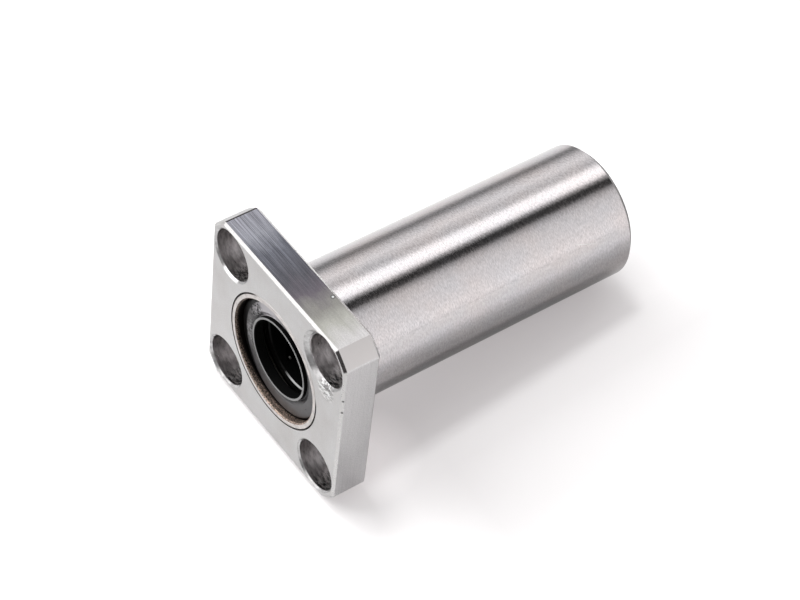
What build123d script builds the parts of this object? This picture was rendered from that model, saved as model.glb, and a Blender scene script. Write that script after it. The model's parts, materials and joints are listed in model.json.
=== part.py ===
from build123d import *
from itertools import combinations
from math import asin, atan, cos, degrees, pi, radians, sin, sqrt, tan
import os

# Flanged linear ball bearing for a 12 mm shaft, long type, with a square flange.
# All sizes are in millimetres. +Y runs along the shaft from the flange's outer face into the sleeve,
# +Z is up and +X is to the right seen from the flange. The origin is on the shaft's axis, in that outer face.

# Shaft and balls
shaft_diameter = 12.0
ball_diameter = 1.984
shaft_clearance = 0.01  # each loaded ball stands this far off a shaft of nominal size
race_clearance = 0.01  # and this far off its raceway

# Flange
flange_width = 32.0  # across the flats of the square
flange_diameter = 42.0  # across the turned corners
flange_thickness = 6.0
flange_front_break = 0.3
flange_back_break = 0.5
bolt_circle = 32.0
bolt_hole_diameter = 4.5
bolt_head_diameter = 8.0
bolt_head_depth = 4.1

# Outer sleeve
sleeve_diameter = 21.0
sleeve_length = 57.0
sleeve_front_break = 0.12
sleeve_rear_chamfer = 0.8
end_bore_diameter = 19.0  # holds the seal, the retaining ring and the cage's collar
groove_clearance = 0.15  # over the balls that run back

# End seals
seal_recess = 1.1  # from the sleeve's end to the seal's face
seal_thickness = 1.5
lip_clearance = 0.02  # the lip is drawn as it stands on a shaft
lip_stand = 0.3  # how far the lip stands out of the seal's face
lip_wall = 0.42
lip_gutter_depth = 0.45
lip_gutter_slope = 60  # degrees from the axis

# Retaining rings
ring_thickness = 0.9
ring_width = 1.6

# Ball cages
circuits = 4  # in each cage
turn_balls = 3  # in each turn
ball_gap = 0.05  # between neighbours in a turn
turn_flat_angle = 30  # each turn's walls are drawn with flats, one for each step of this angle
channel_clearance = 0.12
lip_width = 0.54  # of the lips that keep the loaded balls in when there is no shaft
cage_bore_clearance = 0.25  # between the cage and the shaft
cage_race_clearance = 0.13  # between the cage and the raceway
collar_clearance = 0.15
cage_end_wall = 1.2
cage_play = 0.05
rib_wall = 0.9  # each side of a return channel
rib_clearance = 0.12

# Radii and places that follow
shaft_radius = shaft_diameter / 2
ball_radius = ball_diameter / 2
row_radius = shaft_radius + shaft_clearance + ball_radius
race_radius = row_radius + ball_radius + race_clearance
sleeve_radius = sleeve_diameter / 2
end_bore_radius = end_bore_diameter / 2
middle = sleeve_length / 2
seal_back = seal_recess + seal_thickness
ring_back = seal_back + ring_thickness

# A circuit lies flat in the plane that touches the loaded row's circle, so its balls only move away from the
# shaft as they leave the row. The balls of a turn sit on a half circle, and each takes an equal part of it.
turn_radius = (ball_diameter + ball_gap) / (2 * sin(pi / (2 * turn_balls)))
ball_pitch = pi * turn_radius / turn_balls
channel_half_width = ball_radius + channel_clearance
turn_space = cage_end_wall + channel_half_width + turn_radius
cage_front = ring_back + cage_play
cage_back = middle - cage_play / 2
row_start = cage_front + turn_space
row_balls = int((cage_back - turn_space - row_start) / ball_pitch)  # as many as there is room for
row_end = row_start + row_balls * ball_pitch
return_angle = degrees(atan(2 * turn_radius / row_radius))
return_radius = sqrt(row_radius**2 + (2 * turn_radius) ** 2)
groove_radius = return_radius + ball_radius + groove_clearance
cage_bore_radius = shaft_radius + cage_bore_clearance
cage_body_radius = race_radius - cage_race_clearance
collar_radius = end_bore_radius - collar_clearance
rib_radius = groove_radius - rib_clearance
rib_half_angle = degrees(asin((channel_half_width + rib_wall) / return_radius))
groove_half_angle = rib_half_angle + degrees(rib_clearance / groove_radius)
bolt_place = bolt_circle / 2 * sin(radians(45))

# A ball is drawn with 20 flats and has a round ball's volume, so its mass is right
golden = (1 + sqrt(5)) / 2
flat_edge = ball_radius * (16 * pi / (5 * (3 + sqrt(5)))) ** (1 / 3)


def turned(outline):
    """A solid of revolution about the shaft's axis, from its (radius, y) corners."""
    return revolve(make_face(Polyline(*outline, close=True)), Axis.Y)


def sector(inner, outer, start, end, mid_angle, half_angle):
    """Part of a ring, from start to end along the axis and half_angle to each side of mid_angle."""
    section = [(inner, start), (outer, start), (outer, end), (inner, end)]
    slice_ = revolve(make_face(Polyline(*section, close=True)), Axis.Y, 2 * half_angle)
    return around(mid_angle + half_angle) * slice_


def around(angle):
    """The turn about the shaft's axis that takes +X towards +Z by this angle."""
    return Rot(0, -angle, 0)


def end_for_end(piece):
    """The same piece at the other end, turned half round about a vertical line through the middle."""
    return Pos(0, middle, 0) * Rot(0, 0, 180) * Pos(0, -middle, 0) * piece


def row_angles():
    """Where the loaded rows stand around the shaft."""
    return [45 + 360 / circuits * i for i in range(circuits)]


def flange():
    """Square plate with turned corners, bored for the sleeve, with four counterbored bolt holes."""
    plate = Rot(90, 0, 0) * Cylinder(flange_diameter / 2, flange_thickness)
    plate &= Box(flange_width, flange_thickness, flange_width)
    plate = Pos(0, flange_thickness / 2, 0) * plate
    front = plate.faces().sort_by(Axis.Y)[0]
    plate = chamfer(front.edges(), flange_front_break)
    back = plate.faces().sort_by(Axis.Y)[-1]
    plate = chamfer(back.edges(), flange_back_break)
    plate -= turned([(0, 0), (sleeve_radius, 0), (sleeve_radius, flange_thickness), (0, flange_thickness)])
    hole = [
        (0, 0),
        (bolt_head_diameter / 2, 0),
        (bolt_head_diameter / 2, bolt_head_depth),
        (bolt_hole_diameter / 2, bolt_head_depth),
        (bolt_hole_diameter / 2, flange_thickness),
        (0, flange_thickness),
    ]
    for x in (-bolt_place, bolt_place):
        for z in (-bolt_place, bolt_place):
            plate -= Pos(x, 0, z) * turned(hole)
    return plate


def outer_sleeve():
    """Ground cylinder with end bores, two raceway bores and a return groove beside each raceway."""
    half_bore = [
        (end_bore_radius, 0),
        (end_bore_radius, row_start),
        (race_radius, row_start),
        (race_radius, row_end),
        (groove_radius, row_end),
    ]
    bore = half_bore + [(r, sleeve_length - y) for r, y in reversed(half_bore)]
    outside = [
        (sleeve_radius - sleeve_rear_chamfer, sleeve_length),
        (sleeve_radius, sleeve_length - sleeve_rear_chamfer),
        (sleeve_radius, sleeve_front_break),
        (sleeve_radius - sleeve_front_break, 0),
    ]
    sleeve = turned(bore + outside)
    for angle in row_angles():
        groove = sector(
            cage_bore_radius, groove_radius, row_start, row_end, angle + return_angle, groove_half_angle
        )
        sleeve -= groove
        sleeve -= end_for_end(groove)
    return sleeve


def seal():
    """Rubber disc pressed into the end bore, with a gutter around a lip that stands out of its face."""
    lip_radius = shaft_radius + lip_clearance
    lip_outside = lip_radius + lip_wall
    lip_front = seal_recess - lip_stand
    gutter_floor = seal_recess + lip_gutter_depth
    gutter_radius = lip_outside + lip_gutter_depth * tan(radians(lip_gutter_slope))
    return turned(
        [
            (lip_radius, lip_front),
            (lip_outside, lip_front),
            (lip_outside, gutter_floor),
            (gutter_radius, seal_recess),
            (end_bore_radius, seal_recess),
            (end_bore_radius, seal_back),
            (lip_radius, seal_back),
        ]
    )


def retaining_ring():
    """Steel ring pressed into the end bore, between the seal and the cage."""
    inside = end_bore_radius - ring_width
    return turned(
        [(inside, seal_back), (end_bore_radius, seal_back), (end_bore_radius, ring_back), (inside, ring_back)]
    )


def racetrack(reach):
    """Outline this far outside or inside the path of the balls' centres, in the path's own plane.

    Each turn is drawn with flats that are tangent to the round turn."""
    corner = (turn_radius + reach) / cos(radians(turn_flat_angle / 2))
    angles = [turn_flat_angle * (i + 0.5) for i in range(int(180 / turn_flat_angle))]
    outer = [(row_start - corner * sin(radians(a)), turn_radius - corner * cos(radians(a))) for a in angles]
    inner = [(row_start + row_end - y, 2 * turn_radius - z) for y, z in outer]
    return make_face(Polyline(*outer, *inner, close=True))


def channel():
    """The space of one circuit's track, open to the outside, with lips along the loaded row."""
    floor = row_radius - channel_half_width
    track_plane = Plane(origin=(floor, 0, 0), x_dir=(0, 1, 0), z_dir=(1, 0, 0))
    outline = racetrack(channel_half_width) - racetrack(-channel_half_width)
    space = extrude(track_plane * outline, sleeve_radius - floor)
    for side in (-channel_half_width, channel_half_width):
        tip = side * (1 - lip_width / channel_half_width)
        corners = [(floor, row_start, side), (floor + lip_width, row_start, side), (floor, row_start, tip)]
        lip = make_face(Polyline(*corners, close=True))
        space -= extrude(lip, row_end - row_start, dir=(0, 1, 0))
    return space


def cage():
    """Moulded cage: a collar at the outer end, a body inside the raceway and a rib around each return row."""
    blank = turned(
        [
            (cage_bore_radius, cage_front),
            (collar_radius, cage_front),
            (collar_radius, row_start - cage_play),
            (cage_body_radius, row_start - cage_play),
            (cage_body_radius, cage_back),
            (cage_bore_radius, cage_back),
        ]
    )
    track = channel()
    rib_root = (cage_bore_radius + cage_body_radius) / 2
    for angle in row_angles():
        blank += sector(
            rib_root, rib_radius, row_start - cage_play, cage_back, angle + return_angle, rib_half_angle
        )
    for angle in row_angles():
        blank -= around(angle) * track
    return blank


def ball():
    """One ball at the origin, with the long edges of its flats along and across the track."""
    near, far = flat_edge / 2, golden * flat_edge / 2
    corners = []
    for a in (-near, near):
        for b in (-far, far):
            corners += [Vector(b, a, 0), Vector(0, b, a), Vector(a, 0, b)]
    flats = []
    for three in combinations(corners, 3):
        edges = [(p - q).length for p, q in combinations(three, 2)]
        if max(edges) < 1.1 * flat_edge:
            flats.append(make_face(Polyline(*three, close=True)).face())
    return Solid(Shell(flats))


def circuit(angle):
    """The balls of one circuit, as its four groups, for the loaded row at this angle."""
    one = ball()
    steps = [(i + 0.5) * ball_pitch for i in range(row_balls)]
    loaded = [Pos(row_radius, row_start + step, 0) * one for step in steps]
    returning = [Pos(0, 0, 2 * turn_radius) * b for b in loaded]
    fan = [180 / turn_balls * (i + 0.5) for i in range(turn_balls)]
    across = [turn_radius * sin(radians(turn)) for turn in fan]
    up = [turn_radius * (1 - cos(radians(turn))) for turn in fan]
    outer = [Pos(row_radius, row_start - y, z) * one for y, z in zip(across, up)]
    inner = [Pos(row_radius, row_end + y, z) * one for y, z in zip(across, up)]
    groups = {"loaded_row": loaded, "outer_turn": outer, "return_row": returning, "inner_turn": inner}
    return {name: around(angle) * Compound(balls) for name, balls in groups.items()}


def pieces():
    """Every piece by its name, in its place."""
    front_seal, front_ring, front_cage = seal(), retaining_ring(), cage()
    made = {
        "flange": flange(),
        "outer_sleeve": outer_sleeve(),
        "front_seal": front_seal,
        "rear_seal": end_for_end(front_seal),
        "front_retaining_ring": front_ring,
        "rear_retaining_ring": end_for_end(front_ring),
        "front_cage": front_cage,
        "rear_cage": end_for_end(front_cage),
    }
    for number, angle in enumerate(row_angles(), 1):
        for group, balls in circuit(angle).items():
            made[f"front_circuit_{number}_{group}"] = balls
            made[f"rear_circuit_{number}_{group}"] = end_for_end(balls)
    return made


os.makedirs("parts", exist_ok=True)
for name, piece in pieces().items():
    export_step(piece, f"parts/{name}.step")
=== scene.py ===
import json
from math import atan, cos, pi, radians, sin, sqrt, tan

import bmesh
import bpy
from mathutils import Matrix, Vector

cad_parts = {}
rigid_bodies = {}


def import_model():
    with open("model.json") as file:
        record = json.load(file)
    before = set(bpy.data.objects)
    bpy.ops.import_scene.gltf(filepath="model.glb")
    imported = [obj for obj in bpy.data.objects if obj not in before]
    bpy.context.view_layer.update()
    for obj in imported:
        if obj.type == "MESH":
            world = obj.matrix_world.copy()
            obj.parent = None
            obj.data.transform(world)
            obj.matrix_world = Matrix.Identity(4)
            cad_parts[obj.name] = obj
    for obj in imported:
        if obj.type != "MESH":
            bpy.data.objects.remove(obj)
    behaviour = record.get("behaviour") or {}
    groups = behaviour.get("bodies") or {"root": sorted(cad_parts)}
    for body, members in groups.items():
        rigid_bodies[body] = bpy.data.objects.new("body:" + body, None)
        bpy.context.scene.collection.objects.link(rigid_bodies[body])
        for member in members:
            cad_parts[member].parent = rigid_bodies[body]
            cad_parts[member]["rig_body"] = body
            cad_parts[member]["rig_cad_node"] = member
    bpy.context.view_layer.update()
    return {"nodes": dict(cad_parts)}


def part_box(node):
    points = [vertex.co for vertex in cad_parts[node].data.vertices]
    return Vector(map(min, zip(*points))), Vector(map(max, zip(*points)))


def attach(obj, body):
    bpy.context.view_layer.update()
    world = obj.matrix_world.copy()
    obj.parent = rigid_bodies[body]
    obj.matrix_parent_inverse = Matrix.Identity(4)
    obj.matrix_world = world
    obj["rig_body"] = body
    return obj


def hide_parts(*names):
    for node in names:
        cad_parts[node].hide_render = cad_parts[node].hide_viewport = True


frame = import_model()

# All lengths are in metres; mm turns millimetres into metres. +Y runs along the shaft from the flange's
# outer face into the sleeve, +Z is up and +X is to the right seen from the flange.
mm = 0.001

# What the frame gives
flange_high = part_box("flange")[1]
sleeve_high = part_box("outer_sleeve")[1]
seal_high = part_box("front_seal")[1]
ring_low, ring_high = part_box("front_retaining_ring")
cage_low, cage_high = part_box("front_cage")
flange_back = flange_high.y
half_width = flange_high.x
sleeve_radius = sleeve_high.x
sleeve_length = sleeve_high.y
end_bore_radius = seal_high.x
middle = sleeve_length / 2

# Flange
corner_radius = 21 * mm
flange_front_break = 0.36 * mm
flange_back_break = 0.5 * mm
flange_bore_break = 0.08 * mm
soft_corner = 0.2 * mm  # the corner lines of the left and right sides
parting_line = 0.17 * mm  # the one corner line that stayed dark
bolt_place = 11.3137 * mm  # of the holes to each side of the shaft, and above and below it
bolt_hole_radius = 2.25 * mm
bolt_head_radius = 4 * mm
bolt_head_depth = 4.1 * mm
bolt_edge_break = 0.28 * mm
wandered_by = 0.3 * mm
hole_places = [Vector((x, 0, z)) for x in (-bolt_place, bolt_place) for z in (-bolt_place, bolt_place)]

# Outer sleeve
sleeve_front_break = 0.2 * mm
sleeve_rear_chamfer = 0.8 * mm
end_bore_break = 0.2 * mm
race_radius = 8.004 * mm
groove_radius = 9.242 * mm
groove_half_angle = 15.13
groove_overrun = 0.2 * mm
relief_radius = groove_radius + 0.01 * mm  # the grooves run out into this bore, clear of its wall

# End seals
lip_radius = 6.02 * mm
lip_wall = 0.42 * mm
lip_outside = lip_radius + lip_wall
lip_stand = 0.3 * mm
lip_round = 0.12 * mm
gutter_depth = 0.45 * mm
gutter_slope = radians(60)
seal_recess = 1.1 * mm
seal_shoulder = 0.5 * mm

# Retaining rings
ring_width = 1.6 * mm
ring_break = 0.1 * mm

# Balls and cages
ball_radius = 0.992 * mm
row_start = 7.896 * mm
row_end = 22.806 * mm
row_angles = (45, 135, 225, 315)
return_angle = 30.16
turn_radius = 2.034 * mm
channel_floor = 5.89 * mm
channel_half_width = 1.112 * mm
ball_lip = 0.54 * mm
cage_bore_radius = 6.25 * mm
cage_body_radius = 7.874 * mm
cage_edge_break = 0.15 * mm
cage_lead_in = 0.2 * mm
collar_back = 7.846 * mm
rib_radius = 9.122 * mm
rib_half_angle = 14.39

# Marks that the photograph shows
nick_heights = (7.6 * mm, 5.2 * mm)
dent_place = (5.5 * mm, 5.1 * mm, half_width)
gleam_place = (-11.3 * mm, 0, 7.2 * mm)
scuff_place = (12.1 * mm, 0, 6.5 * mm)
stain_place = (14.85 * mm, 0.15 * mm, 14.85 * mm)
dull_corner_place = (14.85 * mm, 3 * mm, 14.85 * mm)
scratch_start = Vector((8.67, 46.3, 5.92)) * mm
scratch_end = Vector((9.43, 50.6, 4.62)) * mm
pale_rubber_place = (-4.2 * mm, seal_recess, 6.6 * mm)
dusty_rubber_place = (-7.3 * mm, seal_recess, -1.2 * mm)
dried_grease_place = (-7 * mm, seal_recess, 4.5 * mm)
polished_resin_place = (0.9 * mm, cage_low.y, -cage_bore_radius)
# Centre of a painted glow on the table.
glow_place = (11 * mm, 9 * mm, -half_width)  # on the table, below the flange

# How the shapes are made
turned_steps = 256  # flats round a turned piece
hole_steps = 96  # flats round a bolt hole
track_steps = 64  # flats round both turns of a racetrack
same_point = 0.003 * mm  # corners closer than this are one
same_ball_point = 0.01 * mm  # the same for the frame's balls
on_plane = 0.001 * mm  # corners this near a plane lie in it
beyond = 1 * mm  # how far a cutter stands out of what it cuts
table_width = 6

# Camera, as the photograph was taken
camera_place = Vector((179.722, -136.27, 268.073)) * mm
camera_forward = Vector((-0.50001, 0.44021, -0.7458))
camera_up = Vector((-0.63972, 0.39273, 0.6607))
camera_lens = 112.707
camera_sensor = 36


# Working on a mesh
def work_on(piece):
    """Makes this the only object that the next steps work on."""
    bpy.ops.object.select_all(action="DESELECT")
    piece.select_set(True)
    bpy.context.view_layer.objects.active = piece


def edit_mesh():
    bpy.ops.object.mode_set(mode="EDIT")


def leave_mesh():
    bpy.ops.object.mode_set(mode="OBJECT")


def pick(piece, kind, wanted):
    """Selects the piece's faces, edges or corners for which wanted is true, and nothing else."""
    bpy.ops.mesh.select_mode(type=kind)
    bpy.ops.mesh.select_all(action="DESELECT")
    mesh = bmesh.from_edit_mesh(piece.data)
    for item in {"FACE": mesh.faces, "EDGE": mesh.edges, "VERT": mesh.verts}[kind]:
        item.select_set(wanted(item))
    bmesh.update_edit_mesh(piece.data, destructive=False)


def many_sided(face):
    """True for the round end faces of a bar."""
    return len(face.verts) > 4


def apply_place():
    """Puts the object's place, turn and size into its mesh."""
    bpy.ops.object.transform_apply(location=True, rotation=True, scale=True)


def newly_added(name):
    """The object just added, by this name and with its place in its mesh."""
    piece = bpy.context.object
    piece.name = name
    apply_place()
    return piece


def round_bar(name, radius, front, back, steps=turned_steps):
    """A round blank along the shaft's axis, in edit mode."""
    bpy.ops.mesh.primitive_cylinder_add(
        vertices=steps,
        radius=radius,
        depth=back - front,
        location=(0, (front + back) / 2, 0),
        rotation=(radians(90), radians(180 / steps), 0),
    )
    piece = newly_added(name)
    edit_mesh()
    return piece


def turn_end(piece, outward, radius, y, profile):
    """Carries the end face that looks outward through the (radius, y) steps of a profile."""
    pick(piece, "FACE", lambda face: many_sided(face) and face.normal.y * outward > 0.9)
    for next_radius, next_y in profile:
        bpy.ops.mesh.extrude_region_move(TRANSFORM_OT_translate={"value": (0, next_y - y, 0)})
        share = next_radius / radius
        bpy.ops.transform.resize(value=(share, 1, share), center_override=(0, next_y, 0))
        radius, y = next_radius, next_y


def turned(name, radius, front, back, front_profile, back_profile):
    """A turned ring: a round blank whose ends are carried inwards and joined through the bore."""
    piece = round_bar(name, radius, front, back)
    turn_end(piece, -1, radius, front, front_profile)
    turn_end(piece, 1, radius, back, back_profile)
    pick(piece, "FACE", many_sided)
    bpy.ops.mesh.bridge_edge_loops()
    leave_mesh()
    return piece


def other_end(profile):
    """The same profile at the other end of the bearing."""
    return [(radius, sleeve_length - y) for radius, y in profile]


def rounded(centre_radius, centre_y, size, start, end, steps=4):
    """Points of a small round of this size about a centre, from one angle in degrees to another."""
    angles = [radians(start + (end - start) * i / steps) for i in range(steps + 1)]
    return [(centre_radius + size * cos(a), centre_y + size * sin(a)) for a in angles]


def break_edges(piece, wanted, size, segments=1):
    """Bevels the edges for which wanted is true."""
    pick(piece, "EDGE", wanted)
    bpy.ops.mesh.bevel(offset=size, segments=segments, affect="EDGES", clamp_overlap=False)


def slice_off(point, outwards):
    """Cuts the whole mesh at a plane, drops what lies outwards of it and closes the cut."""
    bpy.ops.mesh.select_all(action="SELECT")
    bpy.ops.mesh.bisect(
        plane_co=point,
        plane_no=outwards,
        use_fill=True,
        clear_outer=True,
        threshold=same_point,
    )


def cut(piece, cutter, operation="DIFFERENCE"):
    """Takes the cutter's shape out of the piece, or adds it."""
    work_on(piece)
    bpy.context.view_layer.update()
    boolean = piece.modifiers.new("cut", "BOOLEAN")
    boolean.operation = operation
    boolean.solver = "EXACT"
    boolean.object = cutter
    bpy.ops.object.modifier_apply(modifier="cut")
    bpy.data.objects.remove(cutter)


def copy_of(piece, name):
    """A copy with its own mesh."""
    copied = piece.copy()
    copied.data = piece.data.copy()
    copied.name = name
    bpy.context.scene.collection.objects.link(copied)
    return copied


def turn_round(piece):
    """Turns a piece end for end about the vertical line through the bearing's middle."""
    half_turn = Matrix.Rotation(pi, 4, "Z")
    to_middle = Matrix.Translation((0, middle, 0))
    piece.data.transform(to_middle @ half_turn @ to_middle.inverted())


def finish_piece(piece, body, nodes, sharp_angle=28):
    """Smooth shading up to the sharp angle, and the piece's place in the frame."""
    work_on(piece)
    edit_mesh()
    bpy.ops.mesh.select_all(action="SELECT")
    bpy.ops.mesh.remove_doubles(threshold=same_point)
    leave_mesh()
    bpy.ops.object.shade_smooth_by_angle(angle=radians(sharp_angle))
    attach(piece, body)
    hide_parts(*nodes)


# The flange's shape
def bolt_hole_cutter():
    """The space of one counterbored hole, with broken edges at both faces, on the axis."""
    piece = round_bar("bolt_hole_cutter", bolt_head_radius, bolt_edge_break, bolt_head_depth, hole_steps)
    wide = bolt_head_radius + bolt_edge_break
    turn_end(piece, -1, bolt_head_radius, bolt_edge_break, [(wide, 0), (wide, -beyond)])
    through = [
        (bolt_hole_radius + bolt_edge_break, bolt_head_depth),
        (bolt_hole_radius, bolt_head_depth + bolt_edge_break),
        (bolt_hole_radius, flange_back - bolt_edge_break),
        (bolt_hole_radius + bolt_edge_break, flange_back),
        (bolt_hole_radius + bolt_edge_break, flange_back + beyond),
    ]
    turn_end(piece, 1, bolt_head_radius, bolt_head_depth, through)
    leave_mesh()
    return piece


def wandered_edge_cutter():
    """The break of the upper right counterbore, which the tool cut too wide at the left."""
    size = bolt_edge_break + wandered_by
    blank_length = 0.05 * mm
    piece = round_bar("wandered_edge_cutter", bolt_head_radius, size, size + blank_length, hole_steps)
    wide = bolt_head_radius + size
    turn_end(piece, -1, bolt_head_radius, size, [(wide, 0), (wide, -beyond)])
    leave_mesh()
    piece.location = (bolt_place - wandered_by, 0, bolt_place)
    return piece


def sleeve_hole_cutter():
    """The bore for the sleeve, with broken edges."""
    wide = sleeve_radius + flange_bore_break
    front, back = flange_bore_break, flange_back - flange_bore_break
    piece = round_bar("sleeve_hole_cutter", sleeve_radius, front, back)
    turn_end(piece, -1, sleeve_radius, front, [(wide, 0), (wide, -beyond)])
    turn_end(piece, 1, sleeve_radius, back, [(wide, flange_back), (wide, flange_back + beyond)])
    leave_mesh()
    return piece


def at_corner(edge):
    """True for the edges along the shaft's direction where a milled side meets a turned corner."""
    first, second = (vertex.co for vertex in edge.verts)
    level = abs(first.x - second.x) < on_plane and abs(first.z - second.z) < on_plane
    return level and max(abs(first.x), abs(first.z)) > half_width - on_plane


def parting(edge):
    """The one corner line that stayed sharp and dark, on top at the left."""
    point = edge.verts[0].co
    return at_corner(edge) and point.x < 0 and point.z > half_width - on_plane


def side_corner(edge):
    """The corner lines of the left and right sides, which are rubbed soft."""
    return at_corner(edge) and abs(edge.verts[0].co.x) > half_width - on_plane


def flange_plate():
    """Square plate with turned corners, cut from a round blank, bored and counterbored."""
    piece = round_bar("flange_plate", corner_radius, 0, flange_back)
    for side in (Vector((1, 0, 0)), Vector((-1, 0, 0)), Vector((0, 0, 1)), Vector((0, 0, -1))):
        slice_off(side * half_width, side)
    break_edges(piece, side_corner, soft_corner, segments=3)
    for y, size in ((0, flange_front_break), (flange_back, flange_back_break)):
        break_edges(piece, lambda edge: all(abs(v.co.y - y) < on_plane for v in edge.verts), size)
    break_edges(piece, parting, parting_line)
    leave_mesh()
    for place in hole_places:
        cutter = bolt_hole_cutter()
        cutter.location = place
        cut(piece, cutter)
    cut(piece, wandered_edge_cutter())
    cut(piece, sleeve_hole_cutter())
    return piece


# The shapes of the sleeve, seals, rings and cages
def wedge(name, inner, outer, start, end, middle_angle, half_angle):
    """Part of a ring round the shaft, half_angle to each side of middle_angle, from start to end."""
    piece = turned(name, outer, start, end, [(inner, start)], [(inner, end)])
    edit_mesh()
    for side in (-1, 1):
        edge = radians(middle_angle + side * half_angle)
        slice_off((0, 0, 0), Vector((-sin(edge), 0, cos(edge))) * side)
    leave_mesh()
    return piece


def sleeve_tube():
    """Ground cylinder with a seat for the seal at each end and a raceway under each row of balls."""
    bore = [
        (end_bore_radius + end_bore_break, 0),
        (end_bore_radius, end_bore_break),
        (end_bore_radius, row_start),
        (race_radius, row_start),
        (race_radius, row_end),
        (relief_radius, row_end),
    ]
    piece = turned(
        "sleeve_tube",
        sleeve_radius,
        sleeve_front_break,
        sleeve_length - sleeve_rear_chamfer,
        [(sleeve_radius - sleeve_front_break, 0)] + bore,
        [(sleeve_radius - sleeve_rear_chamfer, sleeve_length)] + other_end(bore),
    )
    groove_start, groove_end = row_start - groove_overrun, row_end + groove_overrun
    for angle in row_angles:
        turn = angle + return_angle
        for start, end, middle_angle in (
            (groove_start, groove_end, turn),
            (sleeve_length - groove_end, sleeve_length - groove_start, 180 - turn),
        ):
            size = (cage_bore_radius, groove_radius, start, end)
            cut(piece, wedge("groove_cutter", *size, middle_angle, groove_half_angle))
    return piece


def seal_disc(name):
    """Rubber disc with a gutter round a raised lip."""
    back = seal_high.y
    lip_front = seal_recess - lip_stand
    gutter_floor = seal_recess + gutter_depth
    gutter_radius = lip_outside + gutter_depth * tan(gutter_slope)
    front_profile = (
        rounded(end_bore_radius - seal_shoulder, seal_recess + seal_shoulder, seal_shoulder, 0, -90)[1:]
        + [(gutter_radius, seal_recess)]
        + [(lip_outside + lip_round, gutter_floor), (lip_outside, gutter_floor - lip_round)]
        + rounded(lip_outside - lip_round, lip_front + lip_round, lip_round, 0, -90)
        + rounded(lip_radius + lip_round, lip_front + lip_round, lip_round, -90, -180)
    )
    return turned(
        name,
        end_bore_radius,
        seal_recess + seal_shoulder,
        back,
        front_profile,
        [(lip_outside, back), (lip_radius, back - lip_wall / 2)],
    )


def retaining_ring(name):
    """Steel ring with broken edges."""
    inner = end_bore_radius - ring_width
    near = [(end_bore_radius - ring_break, 0), (inner + ring_break, 0), (inner, ring_break)]
    return turned(
        name,
        end_bore_radius,
        ring_low.y + ring_break,
        ring_high.y - ring_break,
        [(radius, ring_low.y + inwards) for radius, inwards in near],
        [(radius, ring_high.y - inwards) for radius, inwards in near],
    )


def racetrack_channel():
    """The balls' track right through the cage: two straight runs joined by half rounds."""
    outside = 2 * sleeve_radius
    bpy.ops.mesh.primitive_cylinder_add(
        vertices=track_steps,
        radius=(turn_radius + channel_half_width) / cos(pi / track_steps),
        depth=outside - channel_floor,
        rotation=(0, 0, radians(180 / track_steps)),
    )
    piece = newly_added("channel_cutter")
    piece.rotation_euler = (0, radians(90), 0)
    piece.location = ((outside + channel_floor) / 2, row_start, turn_radius)
    apply_place()
    edit_mesh()
    pick(piece, "VERT", lambda vertex: vertex.co.y > row_start)
    bpy.ops.transform.translate(value=(0, row_end - row_start, 0))
    pick(piece, "FACE", many_sided)
    bpy.ops.mesh.inset(thickness=2 * channel_half_width, use_individual=True)
    bpy.ops.mesh.bridge_edge_loops()
    leave_mesh()
    return piece


def lip_bar(side):
    """One of the slanted lips that keep the loaded balls in the cage when there is no shaft."""
    edge = side * channel_half_width
    bpy.ops.mesh.primitive_cube_add(size=1, location=(channel_floor, (row_start + row_end) / 2, edge))
    piece = bpy.context.object
    piece.name = "lip_bar"
    piece.scale = (2 * ball_lip, row_end - row_start, 2 * ball_lip)
    apply_place()
    edit_mesh()
    slice_off((channel_floor, 0, edge - side * ball_lip), Vector((1, 0, -side)))
    leave_mesh()
    return piece


def channel_cutter():
    """The space of one circuit's track, with lips along the loaded row."""
    piece = racetrack_channel()
    for side in (-1, 1):
        cut(piece, lip_bar(side))
    return piece


def cage_moulding(name):
    """A collar at the outer end, a body inside the raceway and a rib round each return row."""
    front = cage_low.y
    back = cage_high.y
    piece = turned(
        name,
        cage_high.x,
        front + cage_edge_break,
        collar_back,
        [
            (cage_high.x - cage_edge_break, front),
            (cage_bore_radius + cage_lead_in, front),
            (cage_bore_radius, front + cage_lead_in),
        ],
        [(cage_body_radius, collar_back), (cage_body_radius, back), (cage_bore_radius, back)],
    )
    rib_root = (cage_bore_radius + cage_body_radius) / 2
    rib_size = (rib_root, rib_radius, collar_back - cage_edge_break, back)
    for angle in row_angles:
        cut(piece, wedge("rib", *rib_size, angle + return_angle, rib_half_angle), "UNION")
    track = channel_cutter()
    for angle in row_angles:
        cutter = copy_of(track, "channel_cutter")
        cutter.rotation_euler = (0, -radians(angle), 0)
        cut(piece, cutter)
    bpy.data.objects.remove(track)
    return piece


def round_balls(node, finish):
    """The balls of one group, rounded from the flats that they have in the frame."""
    piece = copy_of(frame["nodes"][node], node + "_balls")
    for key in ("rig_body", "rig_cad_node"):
        del piece[key]
    piece.parent = None
    work_on(piece)
    edit_mesh()
    bpy.ops.mesh.select_all(action="SELECT")
    bpy.ops.mesh.remove_doubles(threshold=same_ball_point)
    mesh = bmesh.from_edit_mesh(piece.data)
    waiting = set(mesh.verts)
    centres = []
    while waiting:
        ball = {waiting.pop()}
        newly_found = set(ball)
        while newly_found:
            newly_found = {e.other_vert(v) for v in newly_found for e in v.link_edges} - ball
            ball |= newly_found
        waiting -= ball
        centres.append(sum((v.co for v in ball), Vector()) / len(ball))
    bpy.ops.mesh.subdivide(number_cuts=1)
    mesh = bmesh.from_edit_mesh(piece.data)
    for vertex in mesh.verts:
        centre = min(centres, key=lambda c: (vertex.co - c).length)
        vertex.co = centre + (vertex.co - centre).normalized() * ball_radius
    bmesh.update_edit_mesh(piece.data)
    leave_mesh()
    piece.data.materials.clear()
    piece.data.materials.append(finish)
    finish_piece(piece, node, [node], 180)


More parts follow.
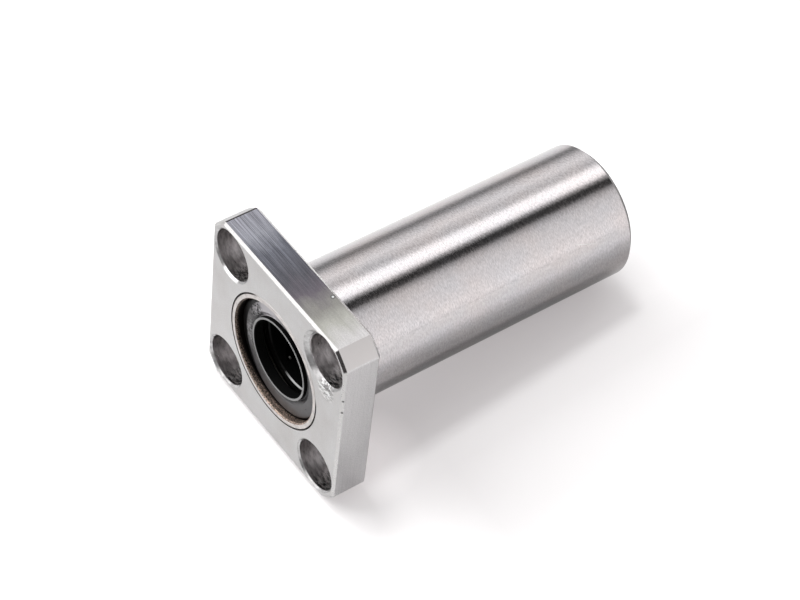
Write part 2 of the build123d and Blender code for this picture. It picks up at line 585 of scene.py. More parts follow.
# Working on a finish. The studio's world is built with the same functions.
def new_finish(name, colour, metallic, roughness):
    """A material with one shader, and its plain values on the shader itself."""
    finish = bpy.data.materials.new(name)
    finish.use_nodes = True
    shader = shader_of(finish)
    shader.inputs["Base Color"].default_value = (*colour, 1)
    shader.inputs["Metallic"].default_value = metallic
    shader.inputs["Roughness"].default_value = roughness
    return finish


def shader_of(finish):
    return finish.node_tree.nodes["Principled BSDF"]


def add_node(finish, kind, **settings):
    node = finish.node_tree.nodes.new("ShaderNode" + kind)
    for setting, value in settings.items():
        setattr(node, setting, value)
    return node


def connect(finish, source, target):
    finish.node_tree.links.new(source, target)


def place_on_piece(finish):
    """The piece's own coordinates, in metres."""
    return add_node(finish, "TexCoord").outputs["Object"]


def grain(finish, size, detail=3, rough=0.55, seed=0):
    """Noise whose features have this size along x, y and z."""
    stretch = add_node(finish, "Mapping")
    stretch.inputs["Location"].default_value = (seed, seed / 2, -seed)
    stretch.inputs["Scale"].default_value = [1 / length for length in size]
    connect(finish, place_on_piece(finish), stretch.inputs["Vector"])
    noise = add_node(finish, "TexNoise")
    noise.inputs["Scale"].default_value = 1
    noise.inputs["Detail"].default_value = detail
    noise.inputs["Roughness"].default_value = rough
    connect(finish, stretch.outputs[0], noise.inputs["Vector"])
    return noise.outputs[0]


def even_grain(finish, size, **settings):
    """Noise whose features have this size every way."""
    return grain(finish, (size, size, size), **settings)


def along(finish, axis):
    """One coordinate of the point, in metres."""
    split = add_node(finish, "SeparateXYZ")
    connect(finish, place_on_piece(finish), split.inputs[0])
    return split.outputs[axis]


def distance_from_shaft(finish):
    """How far the point is from the shaft's axis, in metres."""
    flat = add_node(finish, "Mapping")
    flat.inputs["Scale"].default_value = (1, 0, 1)
    connect(finish, place_on_piece(finish), flat.inputs["Vector"])
    length = add_node(finish, "VectorMath", operation="LENGTH")
    connect(finish, flat.outputs[0], length.inputs[0])
    return length.outputs["Value"]


def remap(finish, source, low, high, out_low=0, out_high=1):
    """Takes low to high onto out_low to out_high, and holds the value outside them."""
    span = add_node(finish, "MapRange")
    for socket, value in zip(span.inputs[1:5], (low, high, out_low, out_high)):
        socket.default_value = value
    connect(finish, source, span.inputs[0])
    return span.outputs[0]


def spread(finish, noise, out_low, out_high):
    """Takes the range that most of a noise lies in onto out_low to out_high."""
    return remap(finish, noise, 0.3, 0.7, out_low, out_high)


def arithmetic(finish, operation, first, second):
    """One step of arithmetic with two sockets or numbers."""
    step = add_node(finish, "Math", operation=operation)
    for socket, value in zip(step.inputs, (first, second)):
        if isinstance(value, (int, float)):
            socket.default_value = value
        else:
            connect(finish, value, socket)
    return step.outputs[0]


def product(finish, first, second):
    return arithmetic(finish, "MULTIPLY", first, second)


def mix_colours(finish, share, first, second):
    """The first colour where the share is 0 and the second where it is 1."""
    mix = add_node(finish, "Mix", data_type="RGBA")
    connect(finish, share, mix.inputs[0])
    for socket, value in zip(mix.inputs[6:8], (first, second)):
        if isinstance(value, tuple):
            socket.default_value = (*value, 1)
        else:
            connect(finish, value, socket)
    return mix.outputs[2]


def shaded(finish, colour, share):
    """The colour times a share."""
    scaled = add_node(finish, "VectorMath", operation="SCALE")
    connect(finish, colour, scaled.inputs[0])
    connect(finish, share, scaled.inputs["Scale"])
    return scaled.outputs[0]


def colour_bands(finish, source, stops):
    """The colours of (position, colour) stops, run through as the source goes from 0 to 1."""
    bands = add_node(finish, "ValToRGB")
    ramp = bands.color_ramp
    while len(ramp.elements) > 1:
        ramp.elements.remove(ramp.elements[0])
    for number, (position, colour) in enumerate(stops):
        stop = ramp.elements[0] if number == 0 else ramp.elements.new(position)
        stop.position = position
        stop.color = (*colour, 1)
    connect(finish, source, bands.inputs[0])
    return bands.outputs[0]


def use_colour(finish, source):
    connect(finish, source, shader_of(finish).inputs["Base Color"])


def gloss(finish):
    """How strongly a surface that isn't metal mirrors."""
    return shader_of(finish).inputs["Specular IOR Level"]


def use_roughness(finish, noise, low, high):
    """Roughness from low to high, as a noise goes."""
    connect(finish, spread(finish, noise, low, high), shader_of(finish).inputs["Roughness"])


def add_relief(finish, height, depth):
    """Bumps of this depth in metres, over those that the finish already has."""
    bump = add_node(finish, "Bump")
    bump.inputs["Strength"].default_value = 1
    bump.inputs["Distance"].default_value = depth
    connect(finish, height, bump.inputs["Height"])
    normal = shader_of(finish).inputs["Normal"]
    if normal.is_linked:
        connect(finish, normal.links[0].from_socket, bump.inputs["Normal"])
    connect(finish, bump.outputs[0], normal)


def patch(finish, centre, inner, outer):
    """1 within the inner distance from a point of the piece, and 0 past the outer one."""
    distance = add_node(finish, "VectorMath", operation="DISTANCE")
    connect(finish, place_on_piece(finish), distance.inputs[0])
    distance.inputs[1].default_value = centre
    return remap(finish, distance.outputs["Value"], inner, outer, 1, 0)


# Marks, some of them drawn as painted light and shade
def nicked(finish, colour):
    """The colour with two small dark nicks in the flange's right front edge."""
    for height in nick_heights:
        nick = patch(finish, (half_width - 0.1 * mm, 0.2 * mm, height), 0.1 * mm, 0.26 * mm)
        colour = mix_colours(finish, nick, colour, (0.1, 0.1, 0.1))
    return colour


def painted_dent(finish, colour):
    """The colour with a small dent by the top side's rear edge, drawn as painted shade round its rim and a
    painted highlight on its floor.
    """
    rim = patch(finish, dent_place, 0.2 * mm, 0.42 * mm)
    dent_painted_highlight = patch(finish, dent_place, 0.1 * mm, 0.24 * mm)
    # Painted shade round the rim, then a painted highlight on the floor.
    colour = mix_colours(finish, rim, colour, (0.08, 0.08, 0.08))
    return mix_colours(finish, dent_painted_highlight, colour, (1, 1, 1))


def painted_gleam(finish, colour):
    """The colour with a painted highlight: a bright arc under the upper left counterbore."""
    arc = patch(finish, (-bolt_place, 0, bolt_place), 4.45 * mm, 4.6 * mm)
    reach = patch(finish, gleam_place, 1.5 * mm, 1.9 * mm)
    return mix_colours(finish, product(finish, arc, reach), colour, (0.97, 0.96, 0.96))


def scuffed_with_painted_glints(finish, colour):
    """The colour with a scuff below the upper right counterbore: dark specks of wear, and painted highlights
    in white.
    """
    reach = patch(finish, scuff_place, 1.1 * mm, 2.2 * mm)
    rubs = grain(finish, (0.9 * mm, 1 * mm, 0.5 * mm), detail=5, rough=0.75, seed=11)
    dark = product(finish, reach, remap(finish, rubs, 0.5, 0.42))
    bright = product(finish, reach, remap(finish, rubs, 0.5, 0.56))
    add_relief(finish, product(finish, reach, rubs), 0.12 * mm)
    colour = mix_colours(finish, dark, colour, (0.2, 0.19, 0.19))
    # The white here is painted highlight.
    return mix_colours(finish, bright, colour, (1, 1, 1))


def scratch(finish):
    """1 along a fine scratch near the sleeve's far end, and 0 elsewhere."""
    fall = (scratch_end.z - scratch_start.z) / (scratch_end.y - scratch_start.y)
    y = along(finish, 1)
    line = arithmetic(finish, "MULTIPLY_ADD", y, fall)
    line.node.inputs[2].default_value = scratch_start.z - fall * scratch_start.y
    off_line = arithmetic(finish, "ABSOLUTE", arithmetic(finish, "SUBTRACT", along(finish, 2), line), 0)
    on_line = remap(finish, off_line, 0.02 * mm, 0.07 * mm, 1, 0)
    begun = remap(finish, y, scratch_start.y, scratch_start.y + 0.5 * mm)
    ended = remap(finish, y, scratch_end.y - 1.5 * mm, scratch_end.y, 1, 0)
    on_right = remap(finish, along(finish, 0), 0, 1 * mm)
    for share in (begun, ended, on_right):
        on_line = product(finish, on_line, share)
    return on_line


def old_oil_and_shade(finish):
    """The near black of an edge that holds old oil; in the joint between sleeve and flange it is also painted
    shade.
    """
    oil = grain(finish, (1.5 * mm, 1 * mm, 1.5 * mm), seed=4)
    return mix_colours(finish, remap(finish, oil, 0.35, 0.65), (0.015, 0.013, 0.013), (0.09, 0.08, 0.078))


# The flange's finishes
def flange_face_steel():
    """Ground flat, with faint lines."""
    finish = new_finish("flange_face_steel", (0.6, 0.585, 0.58), 1, 0.36)
    lines = grain(finish, (0.12 * mm, 4 * mm, 5 * mm))
    clouds = even_grain(finish, 4 * mm, seed=5)
    speckle = even_grain(finish, 0.16 * mm, detail=2, seed=14)
    use_roughness(finish, lines, 0.3, 0.42)
    colour = mix_colours(finish, spread(finish, clouds, 0, 1), (0.57, 0.55, 0.545), (0.63, 0.62, 0.62))
    colour = shaded(finish, colour, spread(finish, lines, 0.96, 1.04))
    colour = shaded(finish, colour, spread(finish, speckle, 0.93, 1.07))
    add_relief(finish, lines, 0.0015 * mm)
    use_colour(finish, nicked(finish, painted_gleam(finish, scuffed_with_painted_glints(finish, colour))))
    return finish


def milled_side_steel():
    """Milled sides: lines along each side; on top a painted reflection in blue-grey and dark bands that fades
    to the sides' steel, which is painted lighter low down.
    """
    finish = new_finish("milled_side_steel", (0.5, 0.5, 0.52), 1, 0.35)
    lines = grain(finish, (9 * mm, 0.11 * mm, 9 * mm), detail=4, rough=0.6)
    fade = grain(finish, (3 * mm, 1.5 * mm, 3 * mm), seed=2)
    x = along(finish, 0)
    z = along(finish, 2)
    wander = remap(finish, fade, 0.2, 0.8, -1.6 * mm, 1.6 * mm)
    along_top = arithmetic(finish, "ADD", x, wander)
    # Painted light: the sides are lighter low down.
    low = remap(finish, z, -6 * mm, -14 * mm)
    sides_painted_lighter_low = mix_colours(finish, low, (0.635, 0.615, 0.62), (0.83, 0.8, 0.81))
    # Painted reflection: blue-grey and dark bands across the top.
    top_reflection_stops = (
        (0.05, (0.42, 0.415, 0.47)),
        (0.2, (0.36, 0.365, 0.41)),
        (0.32, (0.17, 0.175, 0.205)),
        (0.5, (0.13, 0.128, 0.147)),
        (0.6, (0.185, 0.165, 0.19)),
        (0.7, (0.34, 0.33, 0.31)),
        (0.8, (0.52, 0.515, 0.475)),
        (0.9, (0.7, 0.68, 0.68)),
    )
    # The top's painted reflection.
    bloom = colour_bands(finish, remap(finish, along_top, -half_width, half_width), top_reflection_stops)
    on_top = remap(finish, z, half_width - 0.5 * mm, half_width - 0.05 * mm)
    colour = mix_colours(finish, on_top, sides_painted_lighter_low, bloom)
    strength = product(finish, on_top, remap(finish, x, -4 * mm, 4 * mm, 1, 0.15))
    strength = arithmetic(finish, "MAXIMUM", strength, 0.12)
    streaks = product(finish, spread(finish, lines, -0.6, 0.6), strength)
    colour = shaded(finish, colour, arithmetic(finish, "ADD", streaks, 1))
    speckle = even_grain(finish, 0.18 * mm, detail=2, seed=15)
    use_colour(finish, painted_dent(finish, shaded(finish, colour, spread(finish, speckle, 0.9, 1.1))))
    use_roughness(finish, lines, 0.28, 0.44)
    add_relief(finish, lines, 0.004 * mm)
    return finish


def broken_edge_steel():
    """Cut edges, brighter than the faces, but dull on the right and stained dark at the upper right."""
    finish = new_finish("broken_edge_steel", (0.75, 0.735, 0.725), 1, 0.3)
    marks = even_grain(finish, 0.5 * mm)
    use_roughness(finish, marks, 0.24, 0.38)
    colour = mix_colours(finish, remap(finish, marks, 0.35, 0.65), (0.68, 0.665, 0.66), (0.8, 0.785, 0.775))
    dull_from = half_width - 2 * flange_front_break
    dull_side = remap(finish, along(finish, 0), dull_from, half_width - flange_front_break)
    colour = mix_colours(finish, dull_side, colour, (0.66, 0.645, 0.64))
    stained = patch(finish, stain_place, 1.5 * mm, 1.7 * mm)
    use_colour(finish, nicked(finish, mix_colours(finish, stained, colour, (0.14, 0.13, 0.13))))
    return finish


def turned_corner_steel():
    """The turned corners of the flange: bright, but for the duller one at the upper right."""
    bright = (0.73, 0.72, 0.72)
    finish = new_finish("turned_corner_steel", bright, 1, 0.38)
    lines = grain(finish, (5 * mm, 0.15 * mm, 5 * mm))
    use_roughness(finish, lines, 0.33, 0.45)
    dull = patch(finish, dull_corner_place, 5 * mm, 6 * mm)
    use_colour(finish, mix_colours(finish, dull, bright, (0.62, 0.59, 0.585)))
    return finish


def bolt_edge_steel():
    """The broken edges of the counterbores, uneven where the cutter left them."""
    finish = new_finish("bolt_edge_steel", (0.64, 0.63, 0.63), 1, 0.3)
    marks = even_grain(finish, 0.9 * mm, detail=4, seed=8)
    colour = mix_colours(finish, remap(finish, marks, 0.35, 0.65), (0.4, 0.39, 0.39), (0.66, 0.65, 0.65))
    add_relief(finish, marks, 0.01 * mm)
    use_colour(finish, painted_gleam(finish, scuffed_with_painted_glints(finish, colour)))
    return finish


def counterbore_steel():
    """Drilled and counterbored walls: chatter from the cutter, painted shade at the top, and tears in the
    steel with painted highlights at the lower right.
    """
    finish = new_finish("counterbore_steel", (0.42, 0.4, 0.4), 1, 0.34)
    chatter = grain(finish, (1.4 * mm, 0.5 * mm, 1.4 * mm), detail=4, rough=0.6)
    use_roughness(finish, chatter, 0.26, 0.4)
    in_hole = []
    for axis in (0, 2):
        place = along(finish, axis)
        middle_of_hole = product(finish, arithmetic(finish, "SIGN", place, 0), bolt_place)
        in_hole.append(arithmetic(finish, "SUBTRACT", place, middle_of_hole))
    right, up = in_hole
    # Painted shade in the upper part of each hole.
    top = remap(finish, up, 0.5 * mm, 2.5 * mm)
    low_right = remap(finish, arithmetic(finish, "SUBTRACT", right, up), 2.4 * mm, 4.6 * mm)
    marks = remap(finish, chatter, 0.4, 0.6)
    plain = mix_colours(finish, marks, (0.45, 0.428, 0.433), (0.7, 0.667, 0.672))
    shadowed = mix_colours(finish, marks, (0.12, 0.11, 0.112), (0.25, 0.24, 0.24))
    # Tears in the steel at the lower right, with painted highlights in their white.
    tears = grain(finish, (1 * mm, 0.35 * mm, 1 * mm), detail=4, rough=0.7, seed=12)
    tears_with_painted_highlights = mix_colours(finish, remap(finish, tears, 0.42, 0.58), (0.1, 0.096, 0.1), (1, 0.98, 0.97))
    use_colour(finish, mix_colours(finish, low_right, mix_colours(finish, top, plain, shadowed), tears_with_painted_highlights))
    add_relief(finish, chatter, 0.005 * mm)
    add_relief(finish, product(finish, tears, low_right), 0.03 * mm)
    return finish


def joint_gap_shade_steel():
    """The broken edges where the sleeve meets the flange: painted shade in the gap, near black with old oil,
    and pale towards the upper right.
    """
    finish = new_finish("joint_gap_shade_steel", (0.035, 0.03, 0.03), 1, 0.6)
    # Painted shade in the gap between the parts, with old oil.
    dark = old_oil_and_shade(finish)
    rubbed_at = radians(65)
    towards_x = product(finish, along(finish, 0), cos(rubbed_at))
    towards_z = product(finish, along(finish, 2), sin(rubbed_at))
    # Pale towards the upper right, where no shade is painted.
    rubbed = remap(finish, arithmetic(finish, "ADD", towards_x, towards_z), 5.2 * mm, 6.4 * mm)
    use_colour(finish, mix_colours(finish, rubbed, dark, (0.72, 0.69, 0.68)))
    return finish


def parting_line_steel():
    """The one sharp corner line of the flange, dark with old oil."""
    finish = new_finish("parting_line_steel", (0.035, 0.03, 0.03), 1, 0.6)
    use_colour(finish, old_oil_and_shade(finish))
    return finish


# The sleeve's finishes
def ground_sleeve_steel():
    """Centreless ground: fine lines round the sleeve, broken up into a fine speckle."""
    finish = new_finish("ground_sleeve_steel", (0.6, 0.58, 0.57), 1, 0.15)
    lines = grain(finish, (6 * mm, 0.09 * mm, 6 * mm), detail=2)
    speckle = grain(finish, (0.45 * mm, 0.16 * mm, 0.45 * mm), detail=2, seed=3)
    add_relief(finish, lines, 0.0015 * mm)
    add_relief(finish, speckle, 0.007 * mm)
    use_roughness(finish, speckle, 0.08, 0.16)
    clouds = grain(finish, (5 * mm, 9 * mm, 5 * mm), seed=7)
    warm, cool = (0.635, 0.585, 0.583), (0.608, 0.585, 0.6)
    tint = mix_colours(finish, remap(finish, clouds, 0.35, 0.65), warm, cool)
    tint = shaded(finish, tint, spread(finish, speckle, 0.84, 1.16))
    use_colour(finish, mix_colours(finish, scratch(finish), tint, (0.74, 0.72, 0.71)))
    return finish


def chamfer_shade_steel():
    """The turned chamfer at the sleeve's far end: dull, and painted dark as shade."""
    finish = new_finish("chamfer_shade_steel", (0.2, 0.19, 0.19), 1, 0.5)
    lines = grain(finish, (2 * mm, 0.1 * mm, 2 * mm))
    use_roughness(finish, lines, 0.4, 0.6)
    return finish


def turned_end_steel():
    """The sleeve's end rings, pale and slightly pink, with the rings that the tool left."""
    finish = new_finish("turned_end_steel", (0.66, 0.62, 0.605), 1, 0.36)
    rings = add_node(finish, "TexNoise", noise_dimensions="1D")
    rings.inputs["Scale"].default_value = 1
    turns = arithmetic(finish, "DIVIDE", distance_from_shaft(finish), 0.06 * mm)
    connect(finish, turns, rings.inputs["W"])
    add_relief(finish, rings.outputs[0], 0.006 * mm)
    clouds = even_grain(finish, 1.5 * mm, seed=6)
    shade = spread(finish, clouds, 0, 1)
    use_colour(finish, mix_colours(finish, shade, (0.52, 0.49, 0.485), (0.78, 0.73, 0.7)))
    return finish


def recess_wall_steel():
    """The end bores, darkened by heat treatment, with a brown bloom outside; painted light makes them lighter
    towards the lower right, and painted shade makes them near black deep in by the seal.
    """
    finish = new_finish("recess_wall_steel", (0.12, 0.09, 0.075), 1, 0.45)
    bloom = even_grain(finish, 0.22 * mm, detail=4, rough=0.7)
    low_right = arithmetic(finish, "SUBTRACT", along(finish, 0), along(finish, 2))
    # Painted shade: near black deeper in than this, by the seal.
    painted_shade_from = remap(finish, low_right, -5 * mm, 12 * mm, 0.65 * mm, 1.3 * mm)
    past = arithmetic(finish, "SUBTRACT", along(finish, 1), painted_shade_from)
    out_of_painted_shade = remap(finish, past, -0.3 * mm, 0.1 * mm, 1, 0)
    patches = product(finish, remap(finish, bloom, 0.42, 0.6), out_of_painted_shade)
    bronze = mix_colours(finish, patches, (0.06, 0.05, 0.045), (0.54, 0.42, 0.35))
    # Painted light and shade: darker to the upper left, lighter to the lower right.
    colour = shaded(finish, bronze, remap(finish, low_right, -9 * mm, 10 * mm, 0.4, 1.5))
    use_colour(finish, mix_colours(finish, out_of_painted_shade, (0.012, 0.01, 0.009), colour))
    use_roughness(finish, bloom, 0.35, 0.6)
    add_relief(finish, bloom, 0.02 * mm)
    return finish


# The finishes of the pieces inside
def seal_rubber():
    """Smooth dark grey nitrile, with dried grease on top and painted shade near black down the left."""
    finish = new_finish("seal_rubber_grey", (0.05, 0.047, 0.05), 0, 0.32)
    mottle = even_grain(finish, 0.7 * mm, detail=4, rough=0.65)
    crumbs = even_grain(finish, 0.45 * mm, detail=4, rough=0.7, seed=10)
    rubber = mix_colours(finish, remap(finish, mottle, 0.35, 0.65), (0.032, 0.03, 0.032), (0.07, 0.067, 0.07))
    pale = patch(finish, pale_rubber_place, 2 * mm, 5 * mm)
    rubber = mix_colours(finish, pale, rubber, (0.42, 0.4, 0.42))
    dust = patch(finish, dusty_rubber_place, 0.8 * mm, 3.6 * mm)
    dust = product(finish, dust, remap(finish, crumbs, 0.46, 0.6))
    rubber = mix_colours(finish, dust, rubber, (0.26, 0.255, 0.26))
    dried = patch(finish, dried_grease_place, 1.5 * mm, 2.8 * mm)
    dried = product(finish, dried, remap(finish, crumbs, 0.44, 0.52))
    rubber = mix_colours(finish, dried, rubber, (0.012, 0.011, 0.012))
    # Painted shade: near black by the outer edge, reaching further in towards the left.
    painted_shade_widening = remap(finish, along(finish, 0), -9.3 * mm, -3 * mm, 1.05 * mm, 0)
    reach = arithmetic(finish, "ADD", distance_from_shaft(finish), painted_shade_widening)
    painted_shade_left = remap(finish, reach, end_bore_radius - seal_shoulder, end_bore_radius - 0.6 * seal_shoulder)
    use_colour(finish, mix_colours(finish, painted_shade_left, rubber, (0.004, 0.004, 0.004)))
    shine = remap(finish, arithmetic(finish, "MAXIMUM", painted_shade_left, dried), 0, 1, 0.5, 0.1)
    connect(finish, shine, gloss(finish))
    use_roughness(finish, mottle, 0.27, 0.42)
    add_relief(finish, mottle, 0.01 * mm)
    return finish


def painted_shade_rubber():
    """The seal's shoulder and the walls of its lip, painted near black as shade."""
    finish = new_finish("painted_shade_rubber_black", (0.003, 0.003, 0.003), 0, 0.5)
    gloss(finish).default_value = 0.08
    grease = even_grain(finish, 0.6 * mm, seed=9)
    use_roughness(finish, grease, 0.4, 0.6)
    return finish


def worn_lip_rubber():
    """The lip's rim, rubbed lighter."""
    finish = new_finish("worn_lip_rubber", (0.2, 0.2, 0.2), 0, 0.3)
    rub = even_grain(finish, 0.5 * mm)
    use_colour(finish, mix_colours(finish, rub, (0.14, 0.14, 0.14), (0.26, 0.26, 0.26)))
    return finish


def cage_resin():
    """Black moulded resin with a fine grain."""
    finish = new_finish("cage_resin_black", (0.003, 0.003, 0.003), 0, 0.4)
    gloss(finish).default_value = 0.12
    skin = even_grain(finish, 0.15 * mm)
    use_roughness(finish, skin, 0.33, 0.5)
    add_relief(finish, skin, 0.004 * mm)
    return finish


def worn_resin():
    """The cage's bore edge, polished at the bottom by shafts going in."""
    finish = new_finish("worn_resin", (0.004, 0.004, 0.004), 0, 0.1)
    shader_of(finish).inputs["IOR"].default_value = 2.6
    skin = even_grain(finish, 0.3 * mm)
    use_roughness(finish, skin, 0.04, 0.14)
    worn = patch(finish, polished_resin_place, 0.9 * mm, 2.7 * mm)
    connect(finish, remap(finish, worn, 0, 1, 0.01, 0.8), gloss(finish))
    return finish


def shaded_ball_steel():
    """Polished bearing steel, painted near black as the shade inside the bore."""
    finish = new_finish("ball_steel_polished", (0.05, 0.049, 0.047), 1, 0.12)
    marks = even_grain(finish, 0.3 * mm)
    use_roughness(finish, marks, 0.08, 0.2)
    return finish


def ring_spring_steel():
    """Spring steel of the retaining rings, dark from hardening."""
    finish = new_finish("ring_spring_steel", (0.22, 0.21, 0.2), 1, 0.35)
    marks = grain(finish, (0.6 * mm, 0.2 * mm, 0.6 * mm))
    use_roughness(finish, marks, 0.28, 0.45)
    return finish


# Light, table and camera
def studio():
    """World with soft panels round the bearing: bright and dark bands by the angle round its shaft."""
    world = bpy.data.worlds.new("studio")
    bpy.context.scene.world = world
    world.use_nodes = True
    world.node_tree.nodes.clear()
    direction = add_node(world, "SeparateXYZ")
    connect(world, add_node(world, "TexCoord").outputs["Generated"], direction.inputs[0])
    x, y, z = direction.outputs
    half_turn = remap(world, arithmetic(world, "ARCTAN2", z, x), 0, pi)
    # Angle in degrees above the horizon on the right, going over the top to the left, and brightness
    panels = (
        (0, 1.08), (12, 1.15), (30, 1.03), (50, 0.94), (63, 0.78), (71, 0.47), (77, 0.06), (86, 0.02),
        (92, 0.5), (96, 1.4), (104, 1.75), (112, 1.6), (118, 0.95), (124, 0.72), (132, 0.85), (142, 1.08),
        (154, 0.86), (166, 0.42), (172, 0.26), (180, 0.4),
    )
    brightest = 2
    stops = [(angle / 180, [level / brightest] * 3) for angle, level in panels]
    bands = colour_bands(world, half_turn, stops)
    in_front = remap(world, y, 0.15, -0.35)
    in_front.node.interpolation_type = "SMOOTHSTEP"
    front_panel = remap(world, half_turn, 60 / 180, 90 / 180, 0.25 / brightest, 1.5 / brightest)
    light = add_node(world, "Background")
    light.inputs["Strength"].default_value = brightest
    connect(world, mix_colours(world, in_front, bands, front_panel), light.inputs["Color"])
    connect(world, light.outputs[0], add_node(world, "OutputWorld").inputs[0])


def soft_lamp(name, place, size, watts):
    """A large round lamp that looks at the bearing, and doesn't show in its steel."""
    aim = Vector((0, 30 * mm, 0))
    bpy.ops.object.light_add(type="AREA", location=place)
    lamp = bpy.context.object
    lamp.name = name
    lamp.data.shape = "DISK"
    lamp.data.size = size
    lamp.data.energy = watts
    lamp.visible_glossy = False
    lamp.rotation_euler = (aim - lamp.location).to_track_quat("-Z", "Y").to_euler()


def white_table():
    """Matt white paint with painted light and shade: darker far to the left and in front, lighter far to the
    right, a painted shadow by the sleeve and a painted glow below the flange. The bearing mirrors it dimmer
    in one strip, a painted darkening seen only in reflections.
    """
    paint = new_finish("white_table", (0.5, 0.5, 0.5), 0, 0.9)
    gloss(paint).default_value = 0
    x, y = along(paint, 0), along(paint, 1)
    shade = remap(paint, x, -200 * mm, -30 * mm, 0.25, 0.56)
    to_the_right = remap(paint, x, 80 * mm, 350 * mm, 0, 0.25)
    in_front = remap(paint, y, -25 * mm, -8 * mm, -0.1, 0)
    # Painted shadow beside the sleeve, and painted light clear of it.
    painted_sleeve_shadow = remap(paint, x, 12 * mm, 20 * mm, 0, -0.1)
    clear_of_it = remap(paint, x, 32 * mm, 60 * mm, 0, 0.1)
    painted_sleeve_shadow = arithmetic(paint, "ADD", painted_sleeve_shadow, clear_of_it)
    painted_sleeve_shadow = product(paint, painted_sleeve_shadow, remap(paint, y, 10 * mm, 18 * mm))
    for part in (to_the_right, in_front, painted_sleeve_shadow):
        shade = arithmetic(paint, "ADD", shade, part)
    ray = add_node(paint, "LightPath")
    strip_start = remap(paint, x, 8 * mm, 14 * mm, 0, 0.3)
    strip_end = remap(paint, x, 20 * mm, 42 * mm, 0.3, 0)
    behind_flange = remap(paint, y, 16 * mm, 28 * mm)
    strip = product(paint, arithmetic(paint, "MINIMUM", strip_start, strip_end), behind_flange)
    mirrored = product(paint, strip, ray.outputs["Is Glossy Ray"])
    use_colour(paint, product(paint, shade, arithmetic(paint, "SUBTRACT", 1, mirrored)))
    shader_of(paint).inputs["Emission Color"].default_value = (1, 0.93, 0.94, 1)
    lift = remap(paint, ray.outputs["Is Camera Ray"], 0, 1, 0, 0.3)
    # A painted glow on the table below the flange.
    glow = product(paint, patch(paint, glow_place, 2.5 * mm, 9 * mm), 0.15)
    connect(paint, arithmetic(paint, "ADD", lift, glow), shader_of(paint).inputs["Emission Strength"])
    return paint


def floor():
    """The table top. The bearing lies on the flange's rear edge and the sleeve's far end."""
    flange_rests = flange_back - flange_back_break
    sleeve_rests = sleeve_length - sleeve_rear_chamfer
    rise = (half_width - sleeve_radius) / (sleeve_rests - flange_rests)
    bpy.ops.mesh.primitive_plane_add(
        size=table_width,
        location=(0, flange_rests, -half_width),
        rotation=(atan(rise), 0, 0),
    )
    table = newly_added("table_top")
    table.data.materials.append(white_table())


def camera():
    """The photograph's viewpoint."""
    lens = bpy.data.cameras.new("camera")
    lens.lens = camera_lens
    lens.sensor_width = camera_sensor
    lens.clip_start = 0.01
    lens.clip_end = 20
    viewpoint = bpy.data.objects.new("camera", lens)
    right = camera_forward.cross(camera_up).normalized()
    up = right.cross(camera_forward).normalized()
    turn = Matrix((right, up, -camera_forward.normalized())).transposed()
    viewpoint.matrix_world = Matrix.Translation(camera_place) @ turn.to_4x4()
    bpy.context.scene.collection.objects.link(viewpoint)
    bpy.context.scene.camera = viewpoint


# Where each finish goes
def dress(piece, finishes):
    """Gives the piece its finishes: each but the first goes on the faces for which its test is true."""
    piece.data.materials.clear()
    for finish, _ in finishes:
        piece.data.materials.append(finish)
    work_on(piece)
    edit_mesh()
    for slot, (_, wanted) in enumerate(finishes[1:], 1):
        pick(piece, "FACE", wanted)
        piece.active_material_index = slot
        bpy.ops.object.material_slot_assign()
    leave_mesh()


def face_radius(face):
    """How far the face's middle is from the shaft's axis."""
    centre = face.calc_center_median()
    return sqrt(centre.x**2 + centre.z**2)


def from_bolt_hole(face):
    """How far the face's middle is from the axis of the nearest bolt hole."""
    centre = face.calc_center_median()
    flat = Vector((centre.x, 0, centre.z))
    return min((flat - place).length for place in hole_places)


def slanted(face):
    return 0.3 < abs(face.normal.y) < 0.95


def in_bolt_hole(face):
    return from_bolt_hole(face) < bolt_head_radius + same_point


def on_bolt_hole_edge(face):
    in_front = -0.9 < face.normal.y < -0.3 and face.calc_center_median().y < 1 * mm
    reach = bolt_head_radius + bolt_edge_break + 2 * wandered_by
    return in_front and from_bolt_hole(face) < reach and face_radius(face) < corner_radius - 0.5 * mm


def on_milled_side(face):
    return abs(face.normal.y) < 0.1 and not in_bolt_hole(face)


def on_turned_corner(face):
    upright = abs(face.normal.y) < 0.1 and max(abs(face.normal.x), abs(face.normal.z)) < 0.8
    return upright and face_radius(face) > corner_radius - 1 * mm


def on_bore_edge(face):
    return slanted(face) and face_radius(face) < sleeve_radius + flange_bore_break


def on_parting_line(face):
    centre = face.calc_center_median()
    narrow = min(edge.calc_length() for edge in face.edges) < 2 * parting_line
    at_top_left = centre.x < 0 and centre.z > half_width - 2 * parting_line
    return narrow and abs(face.normal.y) < 0.1 and at_top_left


def on_flange_edge(face):
    return slanted(face) and not in_bolt_hole(face) and face_radius(face) > sleeve_radius + 0.5 * mm


def on_sleeve_end(face):
    return abs(face.normal.y) > 0.5 and face_radius(face) > end_bore_radius - 0.1 * mm


def on_recess_wall(face):
    return face_radius(face) < end_bore_radius + end_bore_break


def on_front_break(face):
    return -0.9 < face.normal.y < -0.5 and face_radius(face) > sleeve_radius - 0.5 * mm


def on_rear_chamfer(face):
    return 0.5 < face.normal.y < 0.9 and face_radius(face) > sleeve_radius - 0.5 * mm


def on_lip(face):
    return face_radius(face) < lip_outside - 0.01 * mm


def deep_in_seal(face):
    on_shoulder = face_radius(face) > end_bore_radius - 0.8 * seal_shoulder
    return on_shoulder or (abs(face.normal.y) < 0.6 and face_radius(face) < lip_outside + 0.01 * mm)


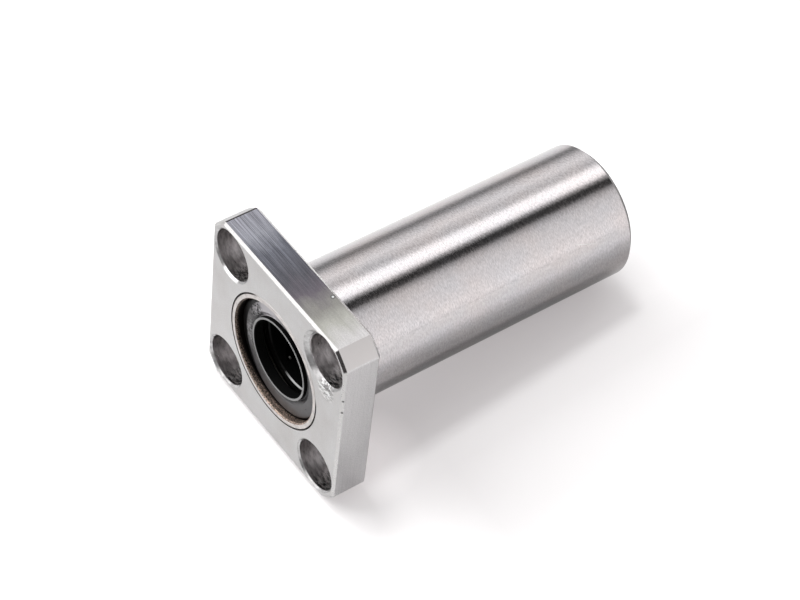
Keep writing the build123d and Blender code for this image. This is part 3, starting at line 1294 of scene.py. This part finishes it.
def on_cage_edge(face):
    return -0.9 < face.normal.y < -0.4 and face_radius(face) < cage_bore_radius + cage_lead_in


# The scene
bpy.context.scene.view_settings.view_transform = "Standard"
camera()
studio()
soft_lamp("key_light", (-0.5, -0.25, 0.55), 0.75, 6.3)
soft_lamp("top_light", (-0.2, -0.01, 0.75), 0.14, 2.2)
floor()

joint_gap_shade = joint_gap_shade_steel()
plate = flange_plate()
dress(
    plate,
    [
        (flange_face_steel(), None),
        (milled_side_steel(), on_milled_side),
        (broken_edge_steel(), on_flange_edge),
        (counterbore_steel(), in_bolt_hole),
        (bolt_edge_steel(), on_bolt_hole_edge),
        (joint_gap_shade, on_bore_edge),
        (parting_line_steel(), on_parting_line),
        (turned_corner_steel(), on_turned_corner),
    ],
)
finish_piece(plate, "housing", ["flange"])

tube = sleeve_tube()
dress(
    tube,
    [
        (ground_sleeve_steel(), None),
        (turned_end_steel(), on_sleeve_end),
        (recess_wall_steel(), on_recess_wall),
        (joint_gap_shade, on_front_break),
        (chamfer_shade_steel(), on_rear_chamfer),
    ],
)
finish_piece(tube, "housing", ["outer_sleeve"])

rubber = seal_rubber()
painted_shade_black = painted_shade_rubber()
rubbed_lip = worn_lip_rubber()
for end in ("front", "rear"):
    disc = seal_disc(end + "_seal_disc")
    dress(disc, [(rubber, None), (rubbed_lip, on_lip), (painted_shade_black, deep_in_seal)])
    if end == "rear":
        turn_round(disc)
    finish_piece(disc, "housing", [end + "_seal"])

front_cage = cage_moulding("front_cage_moulding")
dress(front_cage, [(cage_resin(), None), (worn_resin(), on_cage_edge)])
front_ring = retaining_ring("front_ring")
dress(front_ring, [(ring_spring_steel(), None)])
rear_cage = copy_of(front_cage, "rear_cage_moulding")
rear_ring = copy_of(front_ring, "rear_ring")
for piece in (rear_cage, rear_ring):
    turn_round(piece)
for end, moulding, ring in (("front", front_cage, front_ring), ("rear", rear_cage, rear_ring)):
    finish_piece(moulding, "housing", [end + "_cage"])
    finish_piece(ring, "housing", [end + "_retaining_ring"])

polished = shaded_ball_steel()
for node in frame["nodes"]:
    if "_circuit_" in node:
        round_balls(node, polished)
